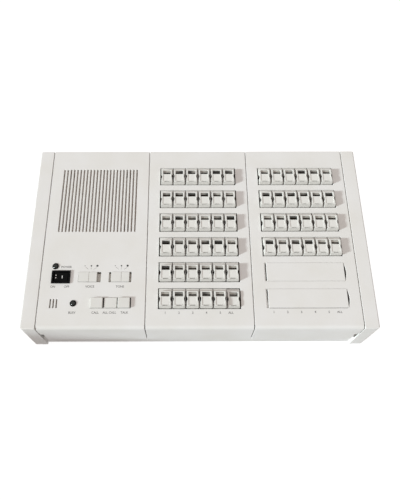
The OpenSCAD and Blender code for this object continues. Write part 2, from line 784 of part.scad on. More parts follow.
// Ferrite magnet ring between its two steel plates
module speaker_magnet() color("#3C3C3E") at_speaker() {
    h = frustum_h;
    pole_r = coil_r - coil_wall - coil_clear;
    hole_r = coil_r + coil_clear;
    rotate_extrude($fn = 64) polygon([
        [0, -speaker_h], [magnet_d / 2 - 2, -speaker_h], [magnet_d / 2 - 2, -speaker_h + 1.5],
        [magnet_d / 2, -speaker_h + 1.5], [magnet_d / 2, -h - 1.5], [magnet_d / 2 - 3, -h - 1.5],
        [magnet_d / 2 - 3, -h], [hole_r, -h], [hole_r, -h - 4], [pole_r, -h - 4], [pole_r, -h], [0, -h]]);
}

mic_d = 9.7;
mic_h = 6.7;
boot_d = 13;
boot_h = 8;
module microphone() color("#9A9A9A") on_top(on_control(mic_at)) post(mic_d, -wall - 1 - mic_h, -wall - 1);
module microphone_boot() color("#202020") on_top(on_control(mic_at)) difference() {
    post(boot_d, -wall - boot_h, -wall);
    post(mic_d, -wall - 1 - mic_h, -wall + 1);
}

// --- Main board and the back wall --------------------------------------------------------

transformer_core = [20, 16, 14];
transformer_coil = [11, 22, 12];
transformer_at = [-16, -10];
capacitor_d = 9;
capacitor_h = 16;
capacitor_gap = 1.5;
capacitors_at = [3, -21];
relay_size = [15, 10, 10];
relay_gap = 2;
relays_at = [6, -6];
chip_size = [18, 6.5, 3.5];
chip_gap = 6;
chips_y = 8;

module at_board_standoffs() {
    for (x = [-1, 1], y = [-1, 1])
        translate([main_board_at[0] + x * (main_board_size[0] / 2 - 4),
                   main_board_at[1] + y * main_board_size[1] / 2 - (y < 0 ? -4 : 17), 0]) children();
}

module main_circuit_board() color("#6B5A2E") difference() {
    translate([main_board_at[0], main_board_at[1], main_board_z]) slab(main_board_size[0], main_board_size[1], board_t);
    at_board_standoffs() post(screw_d + 2 * fit_gap, 0, main_board_z + 1);
}

// What stands on the main board: transformer, tall capacitors, relays and two chips
module board_components() color("#30353A") translate([main_board_at[0], main_board_at[1], main_board_z]) {
    translate([transformer_at[0], transformer_at[1], 0]) {
        block(transformer_core);
        translate([0, 0, 1]) block(transformer_coil - [0, 0, 1]);
    }
    for (i = [0:2]) translate([capacitors_at[0] + i * (capacitor_d + capacitor_gap), capacitors_at[1], 0]) post(capacitor_d, 0, capacitor_h);
    for (i = [0:1]) translate([relays_at[0] + i * (relay_size[0] + relay_gap), relays_at[1], 0]) block(relay_size);
    for (i = [-1, 1]) translate([i * (chip_size[0] + chip_gap) / 2, chips_y, 0]) block(chip_size);
}

// Screw terminal strip for the station lines, in its window in the back wall
module terminal_block() color("#2E5E3A") {
    depth = 10;
    translate([terminal_x, y_back - depth - 0.2, main_board_z]) difference() {
        translate([-terminal_w / 2, 0, 0]) cube([terminal_w, depth, terminal_h]);
        for (i = [0:terminal_ways - 1])
            translate([(i - (terminal_ways - 1) / 2) * terminal_pitch, 0, 0]) {
            translate([0, depth - 4, 3.4]) rotate([-90, 0, 0]) cylinder(d = 3, h = 5);
            translate([-1.9, depth - 5.5, 6.6]) cube([3.8, 6, 5]);
        }
    }
}

// Low-voltage inlet: a moulded block with a round socket and its centre pin
jack_bore_d = 5.5;
jack_pin_d = 2;
module dc_jack() color(BLACK) translate([jack_x, y_back - 0.2, main_board_z + jack_h / 2]) {
    depth = 13;
    difference() {
        translate([-jack_w / 2, -depth, -jack_h / 2]) cube([jack_w, depth, jack_h]);
        rotate([90, 0, 0]) translate([0, 0, -1]) cylinder(d = jack_bore_d, h = 10);
    }
    rotate([90, 0, 0]) translate([0, 0, 1]) cylinder(d = jack_pin_d, h = 9);
}

// --- Feet and fixings --------------------------------------------------------------------

module rubber_feet() color("#2B2B2B") at_feet() rotate_extrude() polygon([
    [0, 0], [foot_d / 2 - 0.8, 0], [foot_d / 2, 0.8], [foot_d / 2 - 0.6, foot_h],
    [foot_stem_d / 2, foot_h], [foot_stem_d / 2, floor_z], [foot_stem_d / 2 + 0.8, floor_z],
    [foot_stem_d / 2 - 1, floor_z + 2.5], [0, floor_z + 2.5]]);

// A screw pointing up, with the underside of its head at height 0 and a cross recess below
module screw(length) difference() {
    union() {
        post(screw_head_d, -screw_head_h, 0);
        post(screw_d, 0, length);
    }
    for (a = [0, 90]) rotate(a) translate([-recess_l / 2, -recess_w / 2, -screw_head_h - 1])
        cube([recess_l, recess_w, 2]);
}

// Screws up through the tray's floor into the posts of the three panels
module case_screws() color("#A8A9AB") at_case_screws() {
    seat = foot_h + screw_head_h + fit_gap;
    translate([0, 0, seat]) screw(joint_z + screw_grip - seat);
}

// Screws that hold the boards and the loudspeaker to the posts, and the main board to the tray
module board_screws() color("#A8A9AB") {
    for (side = [0, 1], at = key_posts(side)) on_top(at, key_board_top - board_t) board_screw();
    for (at = control_posts) on_top(at, control_board_top - board_t) board_screw();
    for (at = speaker_posts) on_top(at, speaker_seat - speaker_flange_t) board_screw(speaker_screw_l);
    at_board_standoffs() translate([0, 0, main_board_z]) rotate([180, 0, 0]) board_screw();
}
module board_screw(length = 6) difference() {
    union() {
        post(screw_head_d - 1, -1.6, 0);
        post(screw_d - 0.5, 0, length);
    }
    translate([-1.6, -0.3, -2.6]) cube([3.2, 0.6, 1.8]);
}

// --- Assembly ----------------------------------------------------------------------------

base_tray();
control_panel();
middle_key_panel();
right_key_panel();
upper_blank_cover();
lower_blank_cover();
power_switch_housing();
power_rocker();
power_lamp();
busy_lamp();
lamp_bezels();
voice_slide_knob();
tone_slide_knob();
voice_switch_body();
tone_switch_body();
call_button();
all_call_button();
talk_button();
function_switch_bank();
grille_cloth();
speaker_basket();
speaker_cone();
speaker_magnet();
microphone();
microphone_boot();
control_board();
main_circuit_board();
board_components();
terminal_block();
dc_jack();
middle_key_board();
middle_key_switches();
middle_call_lamps();
right_key_board();
right_key_switches();
right_call_lamps();
rubber_feet();
case_screws();
board_screws();

// Key rows behind the front ones move as rows; the keys of the front rows move one by one
for (row = [1:MIDDLE_GANGED])
    key_row(0, row);
for (row = [1:RIGHT_GANGED])
    key_row(1, row);
for (k = [0:keys_per_row - 1])
    key_at(0, key_rows, k, KEYS[k] == "all" ? latch_depth : 0);
for (k = [0:keys_per_row - 1])
    key_at(1, right_key_rows, k);
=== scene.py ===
"""The finished look of a desk intercom master station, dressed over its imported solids.

The sections follow the order in which the station is put together. Lengths are millimetres in
the object's own frame, +X to the right, +Y to the back and +Z up, and each mesh is made metric.
On the sloping top, S runs up the slope from its front edge and N stands square to it. A name
that ends in W, L, T, D or R is a width, length, thickness, diameter or radius.
"""

import json
from math import cos, pi, radians, sin, sqrt, tan

import bmesh
import bpy
from mathutils import Matrix, Vector

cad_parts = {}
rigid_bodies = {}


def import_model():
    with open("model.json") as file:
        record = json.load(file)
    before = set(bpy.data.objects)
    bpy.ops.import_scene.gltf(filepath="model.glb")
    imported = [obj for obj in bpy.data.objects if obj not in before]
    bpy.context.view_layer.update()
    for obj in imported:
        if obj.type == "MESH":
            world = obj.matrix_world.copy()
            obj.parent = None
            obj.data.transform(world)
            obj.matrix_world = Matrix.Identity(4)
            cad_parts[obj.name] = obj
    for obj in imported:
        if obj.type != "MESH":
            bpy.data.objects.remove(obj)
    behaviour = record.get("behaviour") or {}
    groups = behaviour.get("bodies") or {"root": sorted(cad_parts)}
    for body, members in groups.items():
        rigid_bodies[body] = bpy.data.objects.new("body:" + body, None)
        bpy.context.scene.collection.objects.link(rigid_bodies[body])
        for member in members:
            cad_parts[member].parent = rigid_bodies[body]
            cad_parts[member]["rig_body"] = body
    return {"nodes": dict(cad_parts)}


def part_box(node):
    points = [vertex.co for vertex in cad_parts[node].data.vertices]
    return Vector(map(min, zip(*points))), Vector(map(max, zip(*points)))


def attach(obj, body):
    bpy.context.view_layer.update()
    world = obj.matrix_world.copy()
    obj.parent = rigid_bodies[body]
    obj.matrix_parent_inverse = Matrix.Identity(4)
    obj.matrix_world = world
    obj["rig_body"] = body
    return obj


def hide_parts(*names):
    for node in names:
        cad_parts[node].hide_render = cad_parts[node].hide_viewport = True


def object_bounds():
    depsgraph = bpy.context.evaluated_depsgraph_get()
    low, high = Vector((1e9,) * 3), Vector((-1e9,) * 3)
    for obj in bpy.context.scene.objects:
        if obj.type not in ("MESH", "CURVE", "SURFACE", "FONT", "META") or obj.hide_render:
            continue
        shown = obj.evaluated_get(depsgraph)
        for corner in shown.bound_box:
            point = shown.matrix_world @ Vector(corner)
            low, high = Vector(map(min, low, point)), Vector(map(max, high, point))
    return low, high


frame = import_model()
cad_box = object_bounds()
nodes = frame["nodes"]


# --- Viewpoint -----------------------------------------------------------------------------
# The station is seen from in front and well above, over its front edge, through a lens of
# normal length. The lens shift keeps the object a little left of the frame's middle.
MM = 0.001
EYE = Vector((-15.7, -260.55, 525)) * MM
LOOK_DOWN = radians(61.38)
YAW = radians(0.016)
ROLL = radians(-0.136)
SENSOR_W = 36
FOCAL_LENGTH = 32.26
SHIFT_RIGHT, SHIFT_UP = 0.03, -0.01

lens = bpy.data.cameras.new("viewpoint")
lens.sensor_width = SENSOR_W
lens.lens = FOCAL_LENGTH
lens.shift_x = SHIFT_RIGHT
lens.shift_y = SHIFT_UP
camera = bpy.data.objects.new("viewpoint", lens)
camera.matrix_world = (
    Matrix.Translation(EYE)
    @ Matrix.Rotation(YAW, 4, "Z")
    @ Matrix.Rotation(pi / 2 - LOOK_DOWN, 4, "X")
    @ Matrix.Rotation(ROLL, 4, "Z")
)
bpy.context.scene.collection.objects.link(camera)
bpy.context.scene.camera = camera


# --- Table and light -----------------------------------------------------------------------
# A white table under a warm, even sky of studio light. One cooler lamp stands low on the left
# and a little in front, so the raised keys throw long shadows to the right. A low card, out of
# sight beside the lamp, shades the foot of the case.
FLOOR_SIZE = 6.0
KEY_LIGHT_TRAVEL = Vector((0.927, 0.278, -0.252))
KEY_LIGHT_SPREAD = radians(6)
KEY_LIGHT = 4.1
SKY = 0.62
TABLE_GLOW = 0.88
CARD_AWAY = 0.49
CARD_T, CARD_L, CARD_H = 0.002, 1.2, 0.125


def colour(code):
    """A colour written as sRGB hex, as the linear values that a shader takes."""
    parts = [int(code[i : i + 2], 16) / 255 for i in (1, 3, 5)]
    return [*(c / 12.92 if c <= 0.04045 else ((c + 0.055) / 1.055) ** 2.4 for c in parts), 1]


def add(tree, kind, inputs=None, **settings):
    """Adds a shader node with its settings; an input takes a value or another node's socket."""
    made = tree.nodes.new("ShaderNode" + kind)
    for name, value in settings.items():
        setattr(made, name, value)
    for name, value in (inputs or {}).items():
        if isinstance(value, bpy.types.NodeSocket):
            tree.links.new(value, made.inputs[name])
        else:
            made.inputs[name].default_value = value
    return made


def seen_directly(tree):
    """1 where the eye meets a surface straight, in a reflection or through glass, otherwise 0."""
    path = add(tree, "LightPath").outputs
    either = add(
        tree, "Math", {0: path["Is Camera Ray"], 1: path["Is Glossy Ray"]}, operation="MAXIMUM"
    )
    return add(
        tree, "Math", {0: either.outputs[0], 1: path["Is Transmission Ray"]}, operation="MAXIMUM"
    ).outputs[0]


world = bpy.data.worlds.new("studio")
world.use_nodes = True
bpy.context.scene.world = world
sky = world.node_tree
sky.nodes.clear()
soft_sky = add(sky, "Background", {"Color": colour("#FFF6F1"), "Strength": SKY})
white_sky = add(sky, "Background", {"Color": (1, 1, 1, 1), "Strength": 1.0})
either_sky = add(
    sky, "MixShader", {0: seen_directly(sky), 1: soft_sky.outputs[0], 2: white_sky.outputs[0]}
)
add(sky, "OutputWorld", {"Surface": either_sky.outputs[0]})

key_light = bpy.data.lights.new("key_light", "SUN")
key_light.energy = KEY_LIGHT
key_light.angle = KEY_LIGHT_SPREAD
key_light.color = colour("#F1FDFF")[:3]
key_lamp = bpy.data.objects.new("key_light", key_light)
key_lamp.rotation_euler = KEY_LIGHT_TRAVEL.to_track_quat("-Z", "Y").to_euler()
bpy.context.scene.collection.objects.link(key_lamp)

# Matt white paint. It keeps the object's shadow, and glows to the eye so that it looks white.
table_finish = bpy.data.materials.new("white_table")
table_finish.use_nodes = True
tree = table_finish.node_tree
tree.nodes.clear()
paint = add(tree, "BsdfDiffuse", {"Color": colour("#9E9E9E")})
seen_glow = add(tree, "Math", {0: seen_directly(tree), 1: TABLE_GLOW}, operation="MULTIPLY")
glow = add(tree, "Emission", {"Color": (1, 1, 1, 1), "Strength": seen_glow.outputs[0]})
lit_paint = add(tree, "AddShader", {0: paint.outputs[0], 1: glow.outputs[0]})
add(tree, "OutputMaterial", {"Surface": lit_paint.outputs[0]})


def on_stage(shape, name):
    """A finished bmesh as a piece of the white surroundings."""
    mesh = bpy.data.meshes.new(name)
    shape.to_mesh(mesh)
    shape.free()
    mesh.materials.append(table_finish)
    made = bpy.data.objects.new(name, mesh)
    bpy.context.scene.collection.objects.link(made)
    return made


shape = bmesh.new()
bmesh.ops.create_grid(shape, x_segments=1, y_segments=1, size=FLOOR_SIZE / 2)
on_stage(shape, "table")

shape = bmesh.new()
at = Matrix.Translation((-CARD_AWAY, 0, CARD_H / 2))
size = Matrix.Diagonal((CARD_T, CARD_L, CARD_H, 1))
bmesh.ops.create_cube(shape, size=1, matrix=at @ size)
card = on_stage(shape, "shading_card")
card.visible_camera = card.visible_glossy = card.visible_transmission = False


# --- Base tray -----------------------------------------------------------------------------
# The lower half of the case: floor, back wall, front lip and both side cheeks in one piece of
# ABS, injection moulded. Spark erosion gave the mould the fine grain that dulls its shine.
MOULD_RADIUS = 0.3
SMOOTH_ANGLE = radians(30)
FLAT_AREA = 300
WELD = 2e-6
AGED_PATCH = 38
SPECK = 0.9


def new_material(name):
    """A material with its tree, its surface shader and the socket of Object coordinates."""
    made = bpy.data.materials.new(name)
    made.use_nodes = True
    tree = made.node_tree
    return made, tree, tree.nodes["Principled BSDF"], add(tree, "TexCoord").outputs["Object"]


def moulded_plastic(name, tint, aged_tint, roughness, grain=0.5, relief=0.02):
    """Moulded plastic with patches where it has yellowed. The mould's grain is drawn coarser
    than the real tenth of a millimetre, which would be too fine to show."""
    made, tree, surface, place = new_material(name)
    patches = add(
        tree, "TexNoise", {"Vector": place, "Scale": 1 / (AGED_PATCH * MM), "Detail": 3.0}
    )
    specks = add(tree, "TexNoise", {"Vector": place, "Scale": 1 / (SPECK * MM), "Detail": 1.0})
    share = add(
        tree,
        "MapRange",
        {"Value": patches.outputs["Fac"], "From Min": 0.35, "From Max": 0.7, "To Max": 0.8},
    )
    speckled = add(
        tree,
        "Math",
        {0: specks.outputs["Fac"], 1: 0.25, 2: share.outputs[0]},
        operation="MULTIPLY_ADD",
    )
    blend = add(
        tree,
        "Mix",
        {0: speckled.outputs[0], 6: colour(tint), 7: colour(aged_tint)},
        data_type="RGBA",
    )
    tree.links.new(blend.outputs[2], surface.inputs["Base Color"])
    erosion = add(
        tree, "TexNoise", {"Vector": place, "Scale": 1 / (grain * MM), "Detail": 2.0}
    )
    relief_node = add(
        tree,
        "Bump",
        {"Height": erosion.outputs["Fac"], "Strength": 0.5, "Distance": relief * MM},
    )
    tree.links.new(relief_node.outputs[0], surface.inputs["Normal"])
    polish = add(
        tree,
        "MapRange",
        {
            "Value": patches.outputs["Fac"],
            "From Min": 0.3,
            "From Max": 0.7,
            "To Min": roughness - 0.05,
            "To Max": roughness + 0.06,
        },
    )
    tree.links.new(polish.outputs[0], surface.inputs["Roughness"])
    surface.inputs["IOR"].default_value = 1.5
    return made


def soften(piece, radius, segments=2):
    """Rounds a piece's edges and keeps its flat faces flat in their shading."""
    edges = piece.modifiers.new("mould_radius", "BEVEL")
    edges.width = radius * MM
    edges.segments = segments
    edges.limit_method = "ANGLE"
    edges.angle_limit = SMOOTH_ANGLE
    edges.use_clamp_overlap = False
    edges.loop_slide = False
    flats = piece.modifiers.new("flat_faces", "WEIGHTED_NORMAL")
    flats.mode = "FACE_AREA"
    flats.weight = 100


def make_piece(shape, name, body, material, smooth=False):
    """A finished bmesh as a piece of one material that moves with a body. With smooth as None,
    its faces keep the shading that they have."""
    if smooth is not None:
        for face in shape.faces:
            face.smooth = smooth
    mesh = bpy.data.meshes.new(name)
    shape.to_mesh(mesh)
    shape.free()
    mesh.materials.append(material)
    piece = bpy.data.objects.new(name, mesh)
    bpy.context.scene.collection.objects.link(piece)
    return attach(piece, body)


def moulding(node, material, radius=MOULD_RADIUS, segments=2):
    """The node's own shape with the small radius that a mould leaves on every edge."""
    shape = bmesh.new()
    shape.from_mesh(nodes[node].data)
    bmesh.ops.remove_doubles(shape, verts=shape.verts, dist=WELD)
    bmesh.ops.dissolve_limit(
        shape, angle_limit=radians(1), verts=shape.verts, edges=shape.edges
    )
    for face in shape.faces:
        face.smooth = face.calc_area() < FLAT_AREA * MM**2
        face.material_index = 0
    body = nodes[node]["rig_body"]
    piece = make_piece(shape, node + "_moulding", body, material, smooth=None)
    soften(piece, radius, segments)
    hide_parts(node)
    return piece


# ABS, nearly white and half matt, faintly yellowed in broad patches.
housing_abs = moulded_plastic("moulded_abs_housing", "#E8E7E6", "#E3E1DD", roughness=0.5)
moulding("base_tray", housing_abs)


# --- Rubber feet ---------------------------------------------------------------------------
# Four push-in feet of moulded rubber, pressed into holes near the corners of the tray's
# floor. Their edges are rounded, because rubber leaves its mould soft.


def mottled(name, tint, other_tint, size, roughness, detail=3.0, distortion=0.0, sockets=None):
    """A finish whose colour wanders between two tints over patches of a real size in mm."""
    made, tree, surface, place = new_material(name)
    patches = add(
        tree,
        "TexNoise",
        {"Vector": place, "Scale": 1 / (size * MM), "Detail": detail, "Distortion": distortion},
    )
    blend = add(
        tree,
        "Mix",
        {0: patches.outputs["Fac"], 6: colour(tint), 7: colour(other_tint)},
        data_type="RGBA",
    )
    tree.links.new(blend.outputs[2], surface.inputs["Base Color"])
    surface.inputs["Roughness"].default_value = roughness
    for socket, value in (sockets or {}).items():
        surface.inputs[socket].default_value = value
    return made


# Moulded rubber, black and matt, greyed in patches by dust.
foot_rubber = mottled(
    "moulded_black_rubber", "#1E1E1D", "#3A3937", size=2.5, roughness=0.85, detail=4.0
)
moulding("rubber_feet", foot_rubber, radius=0.25)


# --- Main board and its parts --------------------------------------------------------------
# A board of brown phenolic paper laminate on the tray's standoffs, with a transformer, tall
# capacitors, relays and two chips.

# Phenolic paper laminate, pressed: brown and half glossy, with the long fibres of its paper.
laminate = mottled(
    "phenolic_laminate",
    "#6B4E26",
    "#8A6A38",
    size=1.2,
    roughness=0.42,
    detail=6.0,
    distortion=0.6,
)
# Moulded epoxy and sleeved cases of the parts: blue-black with a slight mottle.
dark_case = mottled("epoxy_component_case", "#23272B", "#343A3F", size=3, roughness=0.5)


def dress(node, material):
    """Gives a node that keeps its own shape its material."""
    nodes[node].data.materials.clear()
    nodes[node].data.materials.append(material)


for board in ("main_circuit_board", "control_board", "middle_key_board", "right_key_board"):
    dress(board, laminate)
dress("board_components", dark_case)


# --- Line terminals and power inlet --------------------------------------------------------
# A strip of twelve screw terminals in green polyamide, and a low-voltage inlet in black. Each
# stands behind its own window in the back wall, with plated screws sunk in the strip.
TERMINAL_WAYS = 12
TERMINAL_SCREW_D = 2.8
TERMINAL_SCREW_T = 1.2
TERMINAL_SCREW_INSET = 3.4
DRIVER_SLOT_L, DRIVER_SLOT_W, DRIVER_SLOT_T = 2.4, 0.5, 0.12
DRIVER_SLOT_OUT = 0.62

# Moulded polyamide, a little waxy, and glossier than the case.
terminal_green = moulded_plastic(
    "green_polyamide", "#2F5E3C", "#3A6B47", roughness=0.4, grain=0.8
)
inlet_black = moulded_plastic(
    "black_polyamide", "#161616", "#1F1F1E", roughness=0.45, grain=0.8
)
moulding("terminal_block", terminal_green, radius=0.2)
moulding("dc_jack", inlet_black, radius=0.2)

METAL = {"Metallic": 1.0}
# Steel with a bright zinc plating: pale metal with the faint clouds of the plating bath.
plated_steel = mottled(
    "zinc_plated_steel",
    "#9FA2A5",
    "#C3C4C2",
    size=0.7,
    roughness=0.34,
    detail=4.0,
    sockets=METAL,
)

low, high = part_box("terminal_block")
way_pitch = (high.x - low.x) / TERMINAL_WAYS
face_turned_back = Matrix.Rotation(-pi / 2, 4, "X")
inset = TERMINAL_SCREW_INSET * MM
shape = bmesh.new()
for way in range(TERMINAL_WAYS):
    at = Vector((low.x + (way + 0.5) * way_pitch, high.y - inset, low.z + inset))
    bmesh.ops.create_cone(
        shape,
        cap_ends=True,
        segments=20,
        radius1=TERMINAL_SCREW_D / 2 * MM,
        radius2=TERMINAL_SCREW_D / 2 * MM,
        depth=TERMINAL_SCREW_T * MM,
        matrix=Matrix.Translation(at) @ face_turned_back,
    )
    slot_at = Matrix.Translation(at + Vector((0, DRIVER_SLOT_OUT * MM, 0)))
    slot_size = Vector((DRIVER_SLOT_L, DRIVER_SLOT_T, DRIVER_SLOT_W)) * MM
    bmesh.ops.create_cube(shape, size=1, matrix=slot_at @ Matrix.Diagonal((*slot_size, 1)))
make_piece(shape, "terminal_screws", "housing", plated_steel)


# --- Case screws and board screws ----------------------------------------------------------
# Pan-head self-tapping screws of zinc-plated steel: up through the tray's floor into the posts
# of the panels, and through the boards into the shorter posts.
for screws in ("case_screws", "board_screws"):
    dress(screws, plated_steel)


# --- Loudspeaker ---------------------------------------------------------------------------
# A small paper-cone loudspeaker under the grille: pressed steel basket, ferrite magnet and a
# cone of black felted pulp. A grey-brown dust cloth lies between it and the slots.
FELT_RELIEF = 0.1

# Cold-rolled sheet steel, pressed: duller metal with the mottle of the rolling.
pressed_steel = mottled(
    "pressed_steel",
    "#85888A",
    "#A3A5A6",
    size=1.5,
    roughness=0.4,
    detail=5.0,
    sockets=METAL,
)
# Felted paper pulp, black and soft to the eye, with the relief of its fibres.
cone_pulp = mottled(
    "felted_cone_pulp",
    "#1C1B1A",
    "#3B3936",
    size=0.6,
    roughness=0.9,
    detail=6.0,
    distortion=1.0,
)
tree = cone_pulp.node_tree
fibres = tree.nodes["Noise Texture"].outputs["Fac"]
felt_relief = add(
    tree, "Bump", {"Height": fibres, "Strength": 0.6, "Distance": FELT_RELIEF * MM}
)
tree.links.new(felt_relief.outputs[0], tree.nodes["Principled BSDF"].inputs["Normal"])
# Sintered ferrite, dark and matt as unglazed stoneware.
ferrite = mottled("sintered_ferrite", "#2B2B2D", "#454547", size=0.5, roughness=0.7)
# Woven dust cloth, matt; its threads are drawn twice as coarse as real ones, to show at all.
grille_weave = mottled("woven_grille_cloth", "#A79C94", "#BDB3AB", size=0.5, roughness=0.9)

dress("grille_cloth", grille_weave)
dress("speaker_basket", pressed_steel)
dress("speaker_cone", cone_pulp)
dress("speaker_magnet", ferrite)


# --- Microphone ----------------------------------------------------------------------------
# A small electret capsule in a pressed metal can, held in a soft rubber boot behind three
# slots at the front left of the control panel.
dress("microphone", pressed_steel)
dress("microphone_boot", foot_rubber)


# --- Control panel and key panels ----------------------------------------------------------
# Three top panels of the same ABS, each with a rounded front edge that turns down into a
# skirt. They lie side by side between the cheeks, with a narrow groove beside each.
for panel in ("control_panel", "middle_key_panel", "right_key_panel"):
    moulding(panel, housing_abs)


# --- Power switch --------------------------------------------------------------------------
# A snap-in rocker switch of glossy black nylon. Its rocker is pressed down on the right, which
# is off, and carries two small white dots and a bar, hot-stamped into its two faces.
SLOPE = radians(8)
FRONT_TOP = 60
ROCKER_TILT = radians(8)
ROCKER_X = -154.53
ROCKER_S = 58.1
VALLEY_N = 0.672
VALLEY_X = 0.404
DOTS_X = -5.1
DOT_D = 1.3
DOT_SPREAD = 1.4
BAR_X = 1.5
BAR_L = 3.0
MARK_W = 0.75
MARK_T = 0.05
MARK_EDGE = 0.015
FINGER_PATCH = 4

# Nylon, moulded black and glossy, with patches dulled by fingers.
black_nylon, tree, surface, place = new_material("glossy_black_nylon")
handling = add(
    tree, "TexNoise", {"Vector": place, "Scale": 1 / (FINGER_PATCH * MM), "Detail": 5.0}
)
worn = add(
    tree, "MapRange", {"Value": handling.outputs["Fac"], "To Min": 0.26, "To Max": 0.42}
)
tree.links.new(worn.outputs[0], surface.inputs["Roughness"])
surface.inputs["Base Color"].default_value = colour("#070707")
surface.inputs["Specular IOR Level"].default_value = 0.08
# White foil, hot-stamped: matt, a little thin in specks.
stamp_white = mottled("white_hot_stamp", "#F4F4F2", "#D8D8D4", size=0.4, roughness=0.6)

TOP = (
    Matrix.Translation((0, cad_box[0][1], FRONT_TOP * MM))
    @ Matrix.Rotation(SLOPE, 4, "X")
    @ Matrix.Scale(MM, 4)
)


def on_top(x, s, n=0):
    """A place on the sloping top: x across, s up the slope from its front edge, n above it."""
    return TOP @ Matrix.Translation((x, s, n))


def slope_place(node):
    """The x and s of the middle of a node's box, for a node that lies in the sloping top."""
    low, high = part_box(node)
    s = ((low.y + high.y) / 2 - cad_box[0][1]) / MM / cos(SLOPE)
    return (low.x + high.x) / 2 / MM, s


def width(node):
    """The width of a node's box across the object."""
    low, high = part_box(node)
    return (high.x - low.x) / MM


def add_block(shape, at, w, l, t, edge=0.05):
    """A block with rounded edges whose top face is centred at a place on the panels."""
    size = Matrix.Translation((0, 0, -t / 2)) @ Matrix.Diagonal((w, l, t, 1))
    made = bmesh.ops.create_cube(shape, size=1, matrix=at @ size)
    sides = {side for corner in made["verts"] for side in corner.link_edges}
    bmesh.ops.bevel(
        shape,
        geom=list(sides),
        offset=edge * MM,
        affect="EDGES",
        segments=2,
        profile=0.5,
        material=-1,
    )


def add_disc(shape, at, d, t, segments=24):
    """A thin round disc whose top face is centred at a place on the panels."""
    bmesh.ops.create_cone(
        shape,
        cap_ends=True,
        segments=segments,
        radius1=d / 2,
        radius2=d / 2,
        depth=t,
        matrix=at @ Matrix.Translation((0, 0, -t / 2)),
    )


moulding("power_switch_housing", black_nylon, radius=0.25)
moulding("power_rocker", black_nylon, radius=0.35, segments=3)

shape = bmesh.new()
rise = VALLEY_N + (VALLEY_X - DOTS_X) * tan(2 * ROCKER_TILT) + MARK_T
rising = Matrix.Rotation(2 * ROCKER_TILT, 4, "Y")
for spread in (-DOT_SPREAD, DOT_SPREAD):
    at = on_top(ROCKER_X + DOTS_X, ROCKER_S + spread, rise) @ rising
    add_disc(shape, at, DOT_D, MARK_T, segments=16)
at = on_top(ROCKER_X + BAR_X, ROCKER_S, VALLEY_N + MARK_T)
add_block(shape, at, MARK_W, BAR_L, MARK_T, MARK_EDGE)
make_piece(shape, "rocker_marks", "power_rocker", stamp_white)


# --- Painted shade in the slots ------------------------------------------------------------
# Discs of grey-brown pressed into the slots from below, one over each of the four posts that
# hold the loudspeaker and one over the microphone. They are painted shade: dark sheets that
# keep these slots as dark as the rest, instead of showing the lit posts.
PANEL_T = 2.5
PATCH_T = 0.3
PATCH_N = -1.15
PATCH_D = 6.8
PATCH_SETBACK = 4.5
BOOT_DEPTH = 6.5
PATCH_MARGIN = 2

# Grey-brown and quite dull: painted shade, in the colour of the slots' shade.
slot_shade_paint = mottled(
    "painted_slot_shade", "#6F675F", "#857C74", size=0.6, roughness=0.95, detail=4.0
)

shape = bmesh.new()
x, s = slope_place("grille_cloth")
reach = width("speaker_basket") / 2 - PATCH_SETBACK
for side in (-1, 1):
    for end in (-1, 1):
        at = on_top(x + side * reach, s + end * reach - PANEL_T * tan(SLOPE), PATCH_N)
        add_disc(shape, at, PATCH_D, PATCH_T)
x, s = slope_place("microphone_boot")
at = on_top(x, s - BOOT_DEPTH * tan(SLOPE), PATCH_N)
add_disc(shape, at, width("microphone_boot") - PATCH_MARGIN, PATCH_T)
make_piece(shape, "painted_shade_patches", "housing", slot_shade_paint)


# --- Lamps ---------------------------------------------------------------------------------
# Two small indicator lamps, unlit: low, round-nosed lenses of moulded smoked acrylic, pushed
# into black nylon collars.
NOSE_SHARE = 0.55

# Acrylic, dyed and polished: nearly black, with one sharp highlight.
POLISHED = {"IOR": 1.49, "Specular IOR Level": 0.4}
smoked_acrylic = mottled(
    "dark_smoked_acrylic",
    "#0F110D",
    "#23261F",
    size=1.6,
    roughness=0.12,
    detail=2.0,
    sockets=POLISHED,
)

for part in ("power_lamp", "busy_lamp"):
    lamp = moulding(part, smoked_acrylic, radius=0.1)
    for corner in lamp.data.vertices:
        x, s, n = TOP.inverted() @ corner.co
        if n > 0:
            corner.co = TOP @ Vector((x, s, n * NOSE_SHARE))
moulding("lamp_bezels", black_nylon, radius=0.12)


# --- Slide switches ------------------------------------------------------------------------
# Two three-position slide switches, for the voice level and the tone. A flat knob, parted by a
# shallow finger groove, slides in a recess over a pale cover plate.
KNOB_PART = 0.57
KNOB_GROOVE_W = 0.6
KNOB_GROOVE_DEPTH = 0.5
KNOB_RISE = 0.6
KNOB_T = 3.1
KNOB_EDGE = 0.25
BRIDGE_LAP = 2
BRIDGE_INSET = 0.2
BRIDGE_LIFT = 0.1

# ABS from a smoother mould than the case's, so the keys and knobs shine a little more.
key_abs = moulded_plastic(
    "moulded_abs_keys", "#E3E2DF", "#DDDCD7", roughness=0.42, grain=0.4, relief=0.012
)
# The same ABS in a duller grain, tinted greyer than the case as painted shade at the bottom
# of the recess.
slide_plate = moulded_plastic("slide_plate_painted_shade", "#CFCAC3", "#BFBAB3", roughness=0.55)

